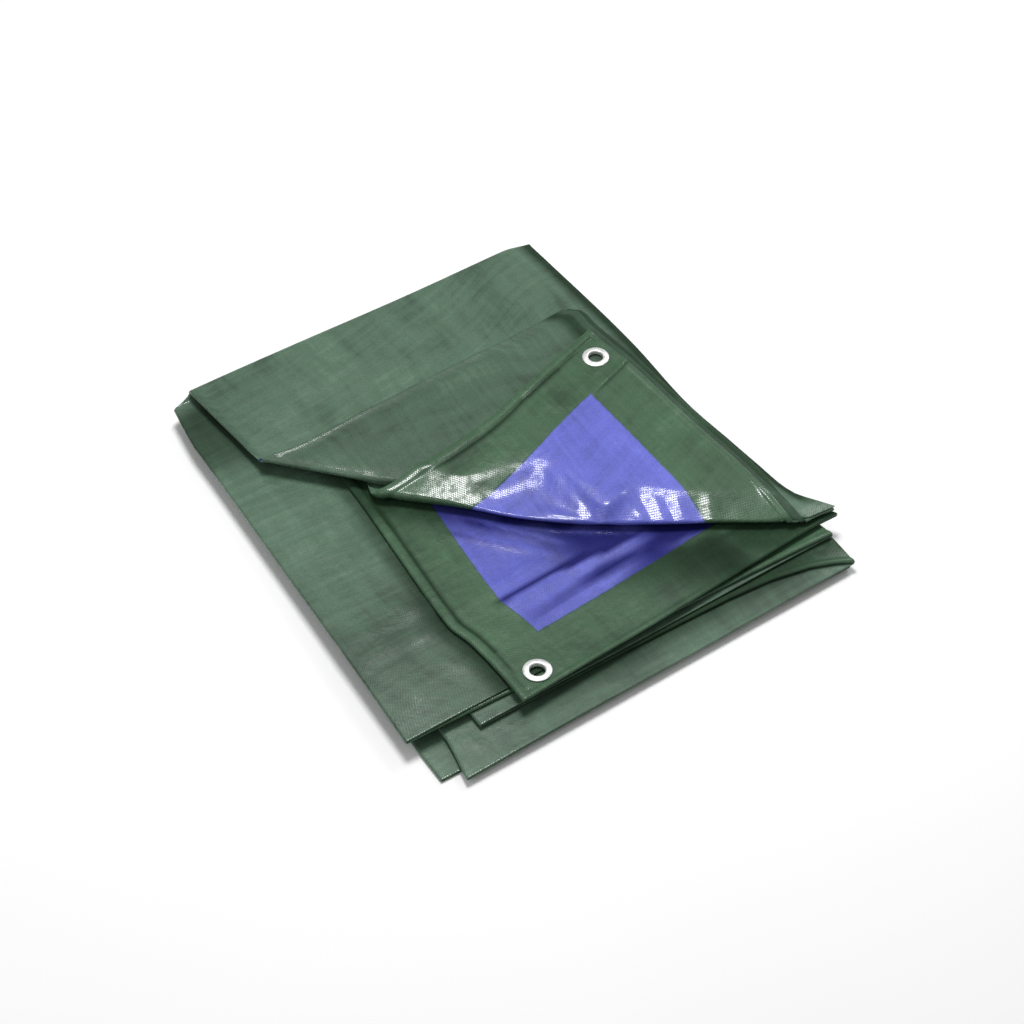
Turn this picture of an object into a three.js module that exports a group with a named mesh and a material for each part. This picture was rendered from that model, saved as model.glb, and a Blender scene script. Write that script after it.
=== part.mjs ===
// A two-colour polyethylene tarpaulin folded into a flat pad, lying as it comes out of its wrapper.
// One front corner of the top three plies is turned back over the pad, so the reverse shows.
// Millimetres, +Z up. X runs along the pad's front edge, Y from front to back, and the origin is
// under the middle of the pad. The cloth is one sheet that zigzags from side to side. Its first
// three plies also run round the back fold, from the upper half of the pad to the lower half.
import * as THREE from "three";

// Cloth
const CLOTH = 1.0;
const PITCH = 2.42; // from the middle of one ply to the middle of the next
const BEAD = 1.7; // the hem is thicker at its rim, where a cord runs inside it
const BEAD_WIDTH = 3.2;
const HEM_SQUARE = 50; // side of the corner square, where the two hems overlap
const SQUARE_THICK = 1.7;
const PARTING = 0.5; // between a corner square and the sheet
const CREASE_AT = 102; // an old packing crease, this far from the front hem
const CREASE_RISE = 0.8;
const CREASE_HALF = 13;
const LOWER_CORNER = [-86, -183]; // the lower eyelet
const CORNER_LIFT = 0.9;

// Eyelets
const EYELET_OUTER = 11.25;
const EYELET_HOLE = 6.0;
const EYELET_BARREL = 0.8;
const EYELET_FLANGE = 0.9;
const EYELET_FROM_SIDE = 25; // centre of the eyelet from the side hem's rim
const EYELET_FROM_FRONT = 17;
const CLEAR = 0.4; // between a metal face and the cloth

// The stack
const LOWER_PLIES = 9;
const UPPER_PLIES = 3;
const BACK_Y = 220.5; // axis of the back fold
const AXIS_Z = CLOTH / 2 + (LOWER_PLIES - 0.5) * PITCH;
const FOLD_R = PITCH / 2;
const SWELL = 0.2; // how much thicker the pad is at its back right than at its front left

// The turned-back corner: a crease from the left edge to the front right corner
const CREASE_START = [-154, 113];
const CREASE_END = [176, -176];
const ROLL_Z = AXIS_Z + (UPPER_PLIES - 0.5) * PITCH + 1.9;
const ROLL_R = ROLL_Z - AXIS_Z - 1.5 * PITCH; // radius of the middle one of the three plies
const OUTER_PUSH = 6; // the outermost ply rolls over further forward than the two inside it
const CREASE_BOW = curve([
  { at: 0, is: -3 },
  { at: 100, is: 3 },
  { at: 180, is: 20 },
  { at: 225, is: 24 },
  { at: 276, is: 24 },
  { at: 354, is: 15 },
  { at: 438, is: -3 },
]);

// Where the sheet's side edges and zigzag folds run: x against y. Edge k lies between ply k and
// ply k + 1, and front is the y of the cloth's front hem there.
const LOWER_EDGES = [
  edge(-200, [[-200, -112], [-165, -111.5], [-130, -113.5], [-105, -118], [62, -103], [220, -99]]),
  edge(-178, [[-178, 201], [-138, 189], [-78, 185], [-18, 183], [62, 185], [220, 181]]),
  edge(-181, [[-181, -201], [0, -191], [155, -182.5], [169, -182.5], [228, -174]]),
  edge(-190, [[-190, 189], [220, 180]]),
  edge(-195, [[-195, -146], [220, -140]]),
  edge(-219, [[-219, 186], [-180, 188], [220, 180]]),
  edge(-227, [[-227, -178.5], [-181, -171], [220, -165]]),
  edge(-217, [[-217, 184], [220, 178]]),
  edge(-215, [[-215, -193], [-174, -192], [220, -166]]),
  edge(-214, [[-214, 180], [220, 175]]),
];
const UPPER_EDGES = [
  edge(-239, [[-239, -139], [-173, -126.5], [-88, -105.5], [19, -91], [60, -93], [220, -97]]),
  edge(-176, [[-176, 200], [-143, 185], [-80, 184], [-14, 180], [62, 184], [220, 179]]),
  edge(-260, [[-249, -165], [-158, -163], [-35, -153.5], [30, -153], [106, -157], [222, -157]]),
  edge(-175, [[-175, 201], [-143, 187], [-80, 187], [-14, 182], [65, 186], [220, 181]]),
];
// The front hem of the upper plies before their corner is turned back: y against x. The two
// outer plies reach a little further forward than the innermost one.
const UPPER_FRONT = curve([
  { at: -172, is: -228 },
  { at: -165, is: -233 },
  { at: -157, is: -242 },
  { at: -139, is: -239 },
  { at: -79, is: -233.5 },
  { at: 11, is: -216 },
  { at: 71, is: -202.5 },
  { at: 134, is: -185 },
  { at: 176, is: -176 },
  { at: 201, is: -175 },
]);
const OUTER_REACH = 16;

// A smooth curve through points in order, level beyond its ends (cubic Hermite).
function curve(points) {
  const slope = (i) => {
    const a = points[Math.max(i - 1, 0)];
    const b = points[Math.min(i + 1, points.length - 1)];
    return (b.is - a.is) / (b.at - a.at);
  };
  return (at) => {
    const last = points.length - 1;
    if (at <= points[0].at) return points[0].is;
    if (at >= points[last].at) return points[last].is;
    const i = points.findIndex((p) => p.at > at) - 1;
    const [a, b] = [points[i], points[i + 1]];
    const span = b.at - a.at;
    const t = (at - a.at) / span;
    const bend = t * t * (3 - 2 * t);
    const rise = t * (1 - t) * ((1 - t) * slope(i) - t * slope(i + 1)) * span;
    return a.is + (b.is - a.is) * bend + rise;
  };
}

function edge(front, rows) {
  return { front, x: curve(rows.map(([y, x]) => ({ at: y, is: x }))) };
}

const mix = (a, b, t) => a + (b - a) * t;
const ease = (from, to, v) => {
  const t = Math.min(Math.max((v - from) / (to - from), 0), 1);
  return t * t * (3 - 2 * t);
};

// Coordinates along and across the turned-back corner's crease.
const creaseLength = Math.hypot(CREASE_END[0] - CREASE_START[0], CREASE_END[1] - CREASE_START[1]);
const along = [
  (CREASE_END[0] - CREASE_START[0]) / creaseLength,
  (CREASE_END[1] - CREASE_START[1]) / creaseLength,
];
const across = [along[1], -along[0]];

function toCrease(x, y) {
  const [dx, dy] = [x - CREASE_START[0], y - CREASE_START[1]];
  return [dx * along[0] + dy * along[1], dx * across[0] + dy * across[1]];
}

function fromCrease(a, b) {
  return [
    CREASE_START[0] + a * along[0] + b * across[0],
    CREASE_START[1] + a * along[1] + b * across[1],
  ];
}

function creaseBow(a, out) {
  return CREASE_BOW(a) + OUTER_PUSH * ease(1.5 * PITCH, 0.5 * PITCH, out);
}

// How far a point of the upper plies lies beyond the crease, and so how far round it is turned.
function beyondCrease(x, y, out) {
  const [a, b] = toCrease(x, y);
  return b - creaseBow(a, out);
}

// Rolls what lies beyond the crease over and back, round an axis above the top ply. offset is
// measured from the middle of the cloth, upwards.
function turnBack(x, y, out, offset) {
  const [a, b] = toCrease(x, y);
  const bow = creaseBow(a, out);
  const beyond = b - bow;
  const z = AXIS_Z + out + offset;
  if (beyond <= 0) return [x, y, z];
  const r = ROLL_Z - z;
  const angle = Math.min(beyond / ROLL_R, Math.PI);
  const rest = Math.max(beyond - Math.PI * ROLL_R, 0);
  return [...fromCrease(a, bow + r * Math.sin(angle) - rest), ROLL_Z - r * Math.cos(angle)];
}

// The pad is not quite flat: it swells towards its back right corner and has shallow waves. The
// floor ply stays level.
function settle(x, y, z) {
  const loose = ease(1, 13, z);
  const swell = SWELL * ease(-110, 170, x) * ease(-190, 110, y);
  const waves =
    0.9 * Math.sin(x / 41 + y / 73 + 0.6) +
    0.6 * Math.sin(x / 67 - y / 38 + 2.1) +
    0.3 * Math.sin(x / 29 + 1.3) * Math.sin(y / 33);
  return [x, y, Math.max(z * (1 + swell) + loose * waves, 0)];
}

// Columns run across the sheet: along each ply, and round the fold to the next one. They lie
// closer together where the crease of the turned-back corner ends. side and end are distances
// from the sheet's two side edges, and share is how far along its ply a column lies.
const FOLD_STEPS = 4;
const SHARES = {
  1: [0.16, 0.32, 0.48, 0.62, 0.74, 0.81, 0.84, 0.86, 0.88, 0.9, 0.93, 1],
  2: [0, 0.06, 0.08, 0.1, 0.12, 0.16, 0.26, 0.4, 0.55, 0.7, 0.85, 1],
  3: [0, 0.15, 0.3, 0.45, 0.6, 0.74, 0.84, 0.88, 0.9, 0.92, 0.94, 1],
  plain: [0, 0.2, 0.4, 0.6, 0.8, 1],
};

function makeColumns() {
  const columns = [];
  const rim = HEM_ROWS.slice(0, 4);
  for (let ply = 1; ply <= LOWER_PLIES; ply += 1) {
    const shares = SHARES[ply] ?? SHARES.plain;
    if (ply === 1) {
      for (const side of HEM_ROWS) columns.push({ ply, side });
    }
    for (const share of shares) {
      const last = ply === LOWER_PLIES && share === 1;
      if (!last) columns.push({ ply, share });
    }
    if (ply === LOWER_PLIES) {
      for (const side of [...rim].reverse()) columns.push({ ply, end: side });
    } else {
      for (let n = 1; n < FOLD_STEPS; n += 1) columns.push({ ply, turn: (n / FOLD_STEPS) * Math.PI });
    }
  }
  return columns;
}

// The column's x, its distance out from the back fold's axis, and the way its green side faces.
function section(column, edges, y) {
  const { ply } = column;
  const way = ply % 2 ? 1 : -1;
  const out = (ply - 0.5) * PITCH;
  if (column.turn !== undefined) {
    const { turn } = column;
    const x = edges[ply].x(y) - way * FOLD_R * (1 - Math.sin(turn));
    const facing = [-Math.sin(turn), way * Math.cos(turn)];
    return { x, out: out + FOLD_R * (1 - Math.cos(turn)), facing };
  }
  const facing = [0, way];
  const start = edges[ply - 1].x(y) + (ply === 1 ? 0 : way * FOLD_R);
  const end = edges[ply].x(y) - (ply === LOWER_PLIES ? 0 : way * FOLD_R);
  if (column.side !== undefined) return { x: start + column.side, out, facing };
  if (column.end !== undefined) return { x: end - column.end, out, facing };
  const from = ply === 1 ? start + HEM_SQUARE + PARTING : start;
  return { x: mix(from, end, column.share), out, facing };
}

// How far along its ply a column lies, from 0 to 1, for the line of the front hem.
function shareOf(column) {
  if (column.turn !== undefined) return 1;
  if (column.side !== undefined) return column.side / 300;
  if (column.end !== undefined) return 1;
  return column.ply === 1 ? mix(HEM_SQUARE / 300, 1, column.share) : column.share;
}

function lowerFront(column) {
  const share = shareOf(column);
  const bent = column.ply === 5 ? share ** 8 : share; // its right end reaches forward to its fold
  return mix(LOWER_EDGES[column.ply - 1].front, LOWER_EDGES[column.ply].front, bent);
}

function upperFront(column) {
  let y = -200;
  const outer = column.ply > 1 ? OUTER_REACH : 0;
  for (let n = 0; n < 8; n += 1) {
    const { x } = section(column, UPPER_EDGES, y);
    y = UPPER_FRONT(x) - outer * ease(150, 90, x);
  }
  return y;
}

// Rows run along the sheet: from the upper front hem over the crease to the back fold, round it,
// and forward to the lower front hem. from is the distance from a front hem.
const HEM_ROWS = [0, 1, BEAD_WIDTH, BEAD_WIDTH + 1, HEM_SQUARE / 2, HEM_SQUARE + PARTING];
const CREASE_ROWS = [CREASE_AT - CREASE_HALF, CREASE_AT, CREASE_AT + CREASE_HALF];
const FRONT_ROWS = [...HEM_ROWS, ...CREASE_ROWS];
const ROLL_STEPS = 8;
const TURN_STEPS = 6;

function makeRows() {
  const rows = FRONT_ROWS.map((from) => ({ half: "upper", zone: "flap", from }));
  rows.push({ half: "upper", zone: "flap", share: 0.5 });
  for (let n = 0; n <= ROLL_STEPS; n += 1) {
    rows.push({ half: "upper", zone: "roll", share: n / ROLL_STEPS });
  }
  for (const share of [0.25, 0.5, 0.75]) rows.push({ half: "upper", zone: "top", share });
  for (let n = 0; n <= TURN_STEPS; n += 1) rows.push({ half: "turn", angle: n / TURN_STEPS });
  for (const share of [0.82, 0.64, 0.42, 0.2]) rows.push({ half: "lower", share });
  for (const from of [...FRONT_ROWS].reverse()) rows.push({ half: "lower", from });
  return rows;
}

// Where a column meets the crease: the y at which it has turned by a given share of half a turn.
function creaseY(column, front, share) {
  let [low, high] = [front, BACK_Y];
  for (let n = 0; n < 40; n += 1) {
    const middle = (low + high) / 2;
    const { x, out } = section(column, UPPER_EDGES, middle);
    const beyond = beyondCrease(x, middle, out);
    if (beyond > share * Math.PI * ROLL_R) low = middle;
    else high = middle;
  }
  return high;
}

const SHORTEST_FLAP = 14;
const SHORTEST_ROLL = 10;

function upperY(column, row) {
  const front = upperFront(column);
  const flapEnd = Math.max(creaseY(column, front, 1), front + SHORTEST_FLAP);
  const rollEnd = Math.max(creaseY(column, front, 0), flapEnd + SHORTEST_ROLL);
  if (row.zone === "roll") return mix(flapEnd, rollEnd, row.share);
  if (row.zone === "top") return mix(rollEnd, BACK_Y, row.share);
  const reach = CREASE_AT + CREASE_HALF + 15;
  const scale = Math.min((flapEnd - front) / reach, 1);
  const from = front + reach * scale;
  return row.from === undefined ? mix(from, flapEnd, row.share) : front + row.from * scale;
}

function lowerY(column, row) {
  if (row.half === "turn") return BACK_Y;
  const front = lowerFront(column);
  if (row.from !== undefined) return front + row.from;
  return mix(front + CREASE_AT + CREASE_HALF, BACK_Y, row.share);
}

// Half the cloth's thickness, more within the hem's rim.
function halfThickness(column, row) {
  const near = Math.min(row.from ?? Infinity, column.side ?? Infinity, column.end ?? Infinity);
  if (near === 0) return mix(CLOTH, BEAD, 0.5) / 2;
  return (near <= BEAD_WIDTH ? BEAD : CLOTH) / 2;
}

function creaseRise(column, row) {
  if (column.ply > 2 || row.from === undefined) return 0;
  return CREASE_RISE * Math.max(1 - Math.abs(row.from - CREASE_AT) / CREASE_HALF, 0);
}

// A point of the sheet. offset is measured from its middle towards its green side.
function sheetPoint(column, row, offset) {
  if (row.half === "turn" && row.angle < 1) {
    const above = section(column, UPPER_EDGES, BACK_Y);
    const below = section(column, LOWER_EDGES, BACK_Y);
    const x = mix(above.x, below.x, ease(0, 0.7, row.angle)) + above.facing[0] * offset;
    const out = above.out + above.facing[1] * offset;
    const angle = row.angle * Math.PI;
    return settle(x, BACK_Y + out * Math.sin(angle), AXIS_Z + out * Math.cos(angle));
  }
  const upper = row.half === "upper";
  const y = upper ? upperY(column, row) : lowerY(column, row);
  const at = section(column, upper ? UPPER_EDGES : LOWER_EDGES, y);
  const x = at.x + at.facing[0] * offset;
  const rise = at.facing[1] * offset - creaseRise(column, row);
  if (upper) return settle(...turnBack(x, y, at.out, rise));
  return settle(x, y, AXIS_Z - at.out - rise + cornerLift(column.ply, x, y));
}

// The lower square lies over the front rims of the plies beneath it.
function cornerLift(ply, x, y) {
  if (ply > 1) return 0;
  return CORNER_LIFT * ease(100, 30, Math.hypot(x - LOWER_CORNER[0], y - LOWER_CORNER[1]));
}

// A closed solid from a grid of cells: point(i, j, side) gives both skins, side 1 or -1, and the
// rim joins them. i, j and side 1's outward direction are right-handed. A round plate's last
// column is its first one again.
function plate({ columns, rows, kept = () => true, round = false, point }) {
  const places = [];
  const index = new Map();
  const triangles = [];
  const wrap = (i) => (round ? (i + columns - 1) % (columns - 1) : i);
  const vertex = (column, j, side) => {
    const i = wrap(column);
    const key = `${i} ${j} ${side}`;
    if (!index.has(key)) {
      index.set(key, places.length / 3);
      places.push(...point(i, j, side));
    }
    return index.get(key);
  };
  const quad = (a, b, c, d) => triangles.push(a, b, c, a, c, d);
  const inside = (n, count) => n >= 0 && n < count - 1;
  const has = (column, j) => {
    const i = wrap(column);
    return inside(i, columns) && inside(j, rows) && kept(i, j);
  };
  for (let i = 0; i < columns - 1; i += 1) {
    for (let j = 0; j < rows - 1; j += 1) {
      if (!has(i, j)) continue;
      const ring = [[i, j], [i + 1, j], [i + 1, j + 1], [i, j + 1]];
      const neighbours = [has(i, j - 1), has(i + 1, j), has(i, j + 1), has(i - 1, j)];
      const [a, b, c, d] = ring.map(([p, q]) => vertex(p, q, -1));
      quad(...ring.map(([p, q]) => vertex(p, q, 1)));
      quad(a, d, c, b);
      ring.forEach(([p, q], n) => {
        if (neighbours[n]) return;
        const [r, s] = ring[(n + 1) % 4];
        quad(vertex(p, q, 1), vertex(p, q, -1), vertex(r, s, -1), vertex(r, s, 1));
      });
    }
  }
  const geometry = new THREE.BufferGeometry();
  geometry.setAttribute("position", new THREE.Float32BufferAttribute(places, 3));
  geometry.setIndex(triangles);
  return geometry;
}

function tarpGeometry() {
  const columns = makeColumns();
  const rows = makeRows();
  const firstLower = rows.findIndex((row) => row.angle === 1);
  const pastUpper = columns.findIndex((c) => c.ply === UPPER_PLIES && c.turn !== undefined) - 1;
  const square = HEM_ROWS.length - 1;
  const kept = (i, j) => {
    if (i < square && (j < square || j >= rows.length - 1 - square)) return false;
    return i < pastUpper || j >= firstLower;
  };
  const point = (i, j, side) =>
    sheetPoint(columns[i], rows[j], side * halfThickness(columns[i], rows[j]));
  return plate({ columns: columns.length, rows: rows.length, kept, point });
}

// The plan of a corner square, before any turning back: side and from are distances from the side
// hem's rim and the front hem's rim.
function squarePlan(upper, side, from) {
  const column = { ply: 1, side };
  const y = (upper ? upperFront(column) : lowerFront(column)) + from;
  return [section(column, upper ? UPPER_EDGES : LOWER_EDGES, y).x, y];
}

// lift is measured from the middle of the cloth towards its blue side.
function squarePoint(upper, [x, y], lift) {
  const out = PITCH / 2;
  if (upper) return settle(...turnBack(x, y, out, -lift));
  return settle(x, y, AXIS_Z - out + lift + cornerLift(1, x, y));
}

const eyeletPlan = (upper) => squarePlan(upper, EYELET_FROM_SIDE, EYELET_FROM_FRONT);

// Rings from the square's edge in to the eyelet's hole, the same number of points in each.
const SIDE_POINTS = 8;
const HOLE_R = EYELET_HOLE + EYELET_BARREL + CLEAR;

function ringPlan(upper, ring, n) {
  const step = (HEM_SQUARE * (n % SIDE_POINTS)) / SIDE_POINTS;
  const [side, from] = [
    [step, 0],
    [HEM_SQUARE, step],
    [HEM_SQUARE - step, HEM_SQUARE],
    [0, HEM_SQUARE - step],
  ][Math.floor(n / SIDE_POINTS) % 4];
  const edgePoint = squarePlan(upper, side, from);
  const centre = eyeletPlan(upper);
  const [dx, dy] = [edgePoint[0] - centre[0], edgePoint[1] - centre[1]];
  const reach = Math.hypot(dx, dy);
  const share = [reach, mix(HOLE_R, reach, 0.35), HOLE_R][ring] / reach;
  return [centre[0] + dx * share, centre[1] + dy * share];
}

function squareGeometry(upper) {
  const around = 4 * SIDE_POINTS;
  const point = (i, j, side) => {
    const n = upper ? i : (around - i) % around;
    return squarePoint(upper, ringPlan(upper, j, n), (-side * SQUARE_THICK) / 2);
  };
  return plate({ columns: around + 1, rows: 3, round: true, point });
}

// The eyelet: two domed flanges on a short barrel, turned about Z.
function eyeletGeometry() {
  const half = SQUARE_THICK / 2 + CLEAR;
  const barrel = EYELET_HOLE + EYELET_BARREL;
  const rim = EYELET_OUTER;
  const profile = [
    [EYELET_HOLE, -half - EYELET_FLANGE * 0.6],
    [rim - 1, -half - EYELET_FLANGE * 0.6],
    [rim, -half],
    [barrel, -half],
    [barrel, half],
    [rim, half],
    [rim - 0.6, half + EYELET_FLANGE * 0.6],
    [mix(EYELET_HOLE, rim, 0.5), half + EYELET_FLANGE],
    [EYELET_HOLE + 0.4, half + EYELET_FLANGE * 0.7],
    [EYELET_HOLE, half],
    [EYELET_HOLE, -half - EYELET_FLANGE * 0.6],
  ];
  const geometry = new THREE.LatheGeometry(profile.map(([r, z]) => new THREE.Vector2(r, z)), 40);
  return geometry.rotateX(Math.PI / 2);
}

// Sets an eyelet in the plane of its corner square, with its domed face on the blue side.
function placeEyelet(mesh, upper) {
  const [x, y] = eyeletPlan(upper);
  const at = (dx, dy, lift) => new THREE.Vector3(...squarePoint(upper, [x + dx, y + dy], lift));
  const centre = at(0, 0, 0);
  const sideways = at(EYELET_OUTER, 0, 0).sub(at(-EYELET_OUTER, 0, 0));
  const blue = at(0, 0, 1).sub(centre);
  const normal = sideways.cross(at(0, EYELET_OUTER, 0).sub(at(0, -EYELET_OUTER, 0)));
  if (normal.dot(blue) < 0) normal.negate();
  mesh.position.copy(centre);
  mesh.quaternion.setFromUnitVectors(new THREE.Vector3(0, 0, 1), normal.normalize());
}

const GREEN_CLOTH = new THREE.MeshStandardMaterial({ color: 0x47614a, roughness: 0.45 });
const ALUMINIUM = new THREE.MeshStandardMaterial({ color: 0xe8ebe8, roughness: 0.35, metalness: 1 });

function named(name, geometry, material) {
  const mesh = new THREE.Mesh(geometry, material);
  mesh.name = name;
  return mesh;
}

const group = new THREE.Group();
group.add(named("tarp", tarpGeometry(), GREEN_CLOTH));
for (const [place, upper] of [["turned", true], ["lower", false]]) {
  group.add(named(`corner_square_${place}`, squareGeometry(upper), GREEN_CLOTH));
  const eyelet = named(`eyelet_${place}`, eyeletGeometry(), ALUMINIUM);
  placeEyelet(eyelet, upper);
  group.add(eyelet);
}

export default group;
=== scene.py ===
"""A folded two-colour tarpaulin with one hemmed corner turned back.

One sheet of coated woven tape, green outside and blue inside, zigzags from side to side. Its first
three plies also run round the back fold. Lengths inside the shape functions are millimetres in the
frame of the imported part: X along the front edge, Y to the back fold, Z up.
"""

import math

import bpy
import numpy as np
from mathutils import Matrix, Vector


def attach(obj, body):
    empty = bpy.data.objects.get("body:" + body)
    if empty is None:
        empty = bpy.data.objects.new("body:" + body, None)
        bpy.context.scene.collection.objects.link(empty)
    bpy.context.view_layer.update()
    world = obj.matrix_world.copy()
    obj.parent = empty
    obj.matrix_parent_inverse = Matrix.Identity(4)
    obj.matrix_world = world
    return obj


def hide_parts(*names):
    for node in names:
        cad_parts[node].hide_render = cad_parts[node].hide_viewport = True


bl_info = {
    "name": "Folded Tarpaulin",
    "version": (1, 0, 0),
    "blender": (4, 5, 0),
    "location": "View3D > Sidebar > Tarpaulin",
    "description": "Makes a folded two-colour tarpaulin with eyelets and its studio",
    "category": "Add Mesh",
}

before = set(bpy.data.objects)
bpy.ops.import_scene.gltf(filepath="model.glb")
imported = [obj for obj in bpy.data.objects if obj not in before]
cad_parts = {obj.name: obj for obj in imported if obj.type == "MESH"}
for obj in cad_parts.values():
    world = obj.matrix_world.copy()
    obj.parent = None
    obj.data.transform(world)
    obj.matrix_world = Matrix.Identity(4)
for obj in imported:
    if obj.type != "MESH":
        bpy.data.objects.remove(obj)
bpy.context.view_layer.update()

MM = 0.001

# The cloth and its stack
CLOTH = 1.0  # thickness
PITCH = 2.42  # from the middle of one ply to the middle of the next
HEM_SQUARE = 50.0  # side of a corner square
LOWER_PLIES = 9
UPPER_PLIES = 3
BACK_Y = 220.5  # axis of the back fold
AXIS_Z = CLOTH / 2 + (LOWER_PLIES - 0.5) * PITCH
FOLD_R = PITCH / 2
SWELL = 0.2  # how much thicker the pad is at its back right than at its front left
DROOP = 0.2  # how much lower its right side lies
EYELET_FROM_SIDE = 25.0  # centre of the eyelet from the side hem's rim
EYELET_FROM_FRONT = 17.0
LOWER_CORNER = (-86.0, -183.0)
CORNER_LIFT = 0.9
CREASE_AT = 102.0  # the old packing crease, from the front hem
CREASE_HALF = 13.0
BEAD = (7.8, 1.3)  # width and height of the side hem's bead
FRONT_BEAD = (5.2, 0.75)
# painted shade darkens a line at this distance, in the groove behind the side hem's bead
GROOVE_AT = 9.4  # the dim line behind the side hem's bead

# The turned-back corner
CREASE_START = np.array((-154.0, 113.0))
CREASE_END = np.array((176.0, -176.0))
ROLL_Z = AXIS_Z + (UPPER_PLIES - 0.5) * PITCH + 1.9
ROLL_R = ROLL_Z - AXIS_Z - 1.5 * PITCH
OUTER_PUSH = 6.0  # the outermost ply rolls over further forward than the two inside it
OUTER_REACH = np.array((0.0, -1.0, 6.0) + (6.0,) * 6)  # how far each ply's hem lies behind


def curve(*points):
    """A smooth curve through (at, value) points, level beyond its ends: cubic Hermite pieces whose
    slope at a point is that of the line between its two neighbours."""
    at, value = (np.array(v, float) for v in zip(*points))
    last = len(at) - 1
    before = np.maximum(np.arange(last + 1) - 1, 0)
    after = np.minimum(np.arange(last + 1) + 1, last)
    slope = (value[after] - value[before]) / (at[after] - at[before])

    def f(x):
        x = np.clip(x, at[0], at[-1])
        i = np.clip(np.searchsorted(at, x, side="right") - 1, 0, last - 1)
        span = at[i + 1] - at[i]
        t = (x - at[i]) / span
        bend = t * t * (3 - 2 * t)
        rise = t * (1 - t) * ((1 - t) * slope[i] - t * slope[i + 1]) * span
        return value[i] + (value[i + 1] - value[i]) * bend + rise

    return f


# Side edges and zigzag folds, x against y; edge k lies between ply k and ply k + 1
LOWER_EDGES = [
    curve((-200, -112), (-165, -111.5), (-130, -113.5), (-105, -118), (62, -103), (220, -99)),
    curve((-178, 201), (-150, 184), (-115, 173), (-80, 174), (-18, 171), (62, 175), (220, 179)),
    curve((-181, -201), (0, -191), (155, -182.5), (169, -182.5), (228, -174)),
    curve((-190, 187), (-115, 178), (-18, 175), (62, 177), (220, 180)),
    curve((-195, -146), (220, -140)),
    curve((-219, 186), (-180, 188), (220, 180)),
    curve((-227, -178.5), (-181, -171), (220, -165)),
    curve((-217, 184), (220, 178)),
    curve((-215, -193), (-174, -192), (220, -166)),
    curve((-214, 180), (220, 175)),
]
LOWER_FRONTS = np.array((-200, -178, -181, -190, -195, -219, -227, -217, -215, -214), float)
UPPER_EDGES = [
    curve((-239, -139), (-173, -126.5), (-88, -105.5), (19, -91), (60, -93), (220, -97)),
    curve((-176, 200), (-150, 184), (-115, 177), (-80, 179), (-14, 175), (62, 179), (220, 179)),
    curve(
        (-249, -166), (-160, -164.8), (-37, -154.9), (17, -154.7), (68, -156.6), (86, -159.6),
        (97, -162.2), (104, -162.7), (109, -161.4), (115, -160.1), (123.5, -158.7), (133, -157.1),
        (144, -155.1), (156.5, -152.9), (166.6, -153.4), (178.6, -154.4), (205.6, -156.6), (222.6, -158),
    ),
    curve((-175, 201), (-150, 186), (-115, 179), (-80, 181), (-14, 177), (65, 181), (220, 181)),
]
UPPER_FRONT = curve(
    (-172, -228), (-165, -233), (-157, -242), (-139, -240), (-79, -236.5),
    (11, -219.5), (71, -205.5), (134, -186.5), (176, -176), (201, -175),
)
CREASE_BOW = curve((0, -3), (100, 3), (180, 20), (225, 24), (276, 24), (354, 15), (438, -3))


def mix(a, b, t):
    """a at 0 and b at 1."""
    return a + (b - a) * t


def ease(low, high, v):
    """0 at low, 1 at high, with level ends."""
    t = np.clip((np.asarray(v, float) - low) / (high - low), 0, 1)
    return t * t * (3 - 2 * t)


# The crease's own coordinates
ALONG = (CREASE_END - CREASE_START) / np.linalg.norm(CREASE_END - CREASE_START)
ACROSS = np.array((ALONG[1], -ALONG[0]))

# The turned edge, against the distance along the crease. Each ply has its tip, how far in front of
# the crease its fold reaches. Behind the innermost ply's tip its upper side climbs over a slope to
# the level of the flap, evenly where the power is 1 and late where it is more.
TIPS = [
    curve(
        (-30, -8), (0, -5.5), (50, 0), (80, 4), (92, 16), (120, 20), (147, 22), (180, 25),
        (212, 28.5), (262, 28.5), (281, 26), (306, 23.5), (337, 19.5), (366, 14.5), (399, 10),
        (425, 6), (438, 6), (456, 3),
    ),
    curve(
        (-30, -8), (0, -5.5), (50, 0), (92, 4.5), (125, 5), (180, 10), (212, 14), (262, 14),
        (306, 9), (366, 3), (399, 3), (425, 4), (438, 3), (456, 3),
    ),
    curve(
        (-30, -8), (-5, -6.5), (20, -12), (60, -12), (125, -15), (212, -22), (262, -20),
        (306, -16), (366, -12), (399, -6), (425, 0), (438, 2), (456, 3),
    ),
]
SLOPE_REACH = curve(
    (-30, 7), (80, 7), (92, 24), (110, 26), (140, 27), (165, 24), (185, 34), (205, 50), (223, 57),
    (240, 42), (260, 23), (272, 13), (281, 9), (290, 22), (301, 32), (325, 29), (350, 27),
    (366, 26), (385, 27), (400, 26), (430, 18), (456, 8),
)
SLOPE_POWER = curve((160, 1.0), (190, 2.2), (223, 2.8), (240, 1.8), (258, 1.05))
TIP_TOP = curve((-30, 5.0), (70, 4.8), (86, 3.4), (95, 2.6), (140, 2.2), (165, 0.9), (190, -0.6))
TIP_ROUND = curve((80, 1.0), (95, 2.8), (140, 2.8), (165, 1.6), (190, 0.9))
UNDERCUT = 14.0  # over this length behind the tip the cloth below it lifts
TUCKED = curve((0, 26), (70, 40), (120, 60), (390, 60), (430, 20))


def to_crease(x, y):
    """Distance along the crease, and distance in front of it."""
    dx, dy = x - CREASE_START[0], y - CREASE_START[1]
    return dx * ALONG[0] + dy * ALONG[1], dx * ACROSS[0] + dy * ACROSS[1]


def from_crease(a, b):
    """x and y of a place given by the crease's own coordinates."""
    px = CREASE_START[0] + a * ALONG[0] + b * ACROSS[0]
    py = CREASE_START[1] + a * ALONG[1] + b * ACROSS[1]
    return px, py


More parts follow.
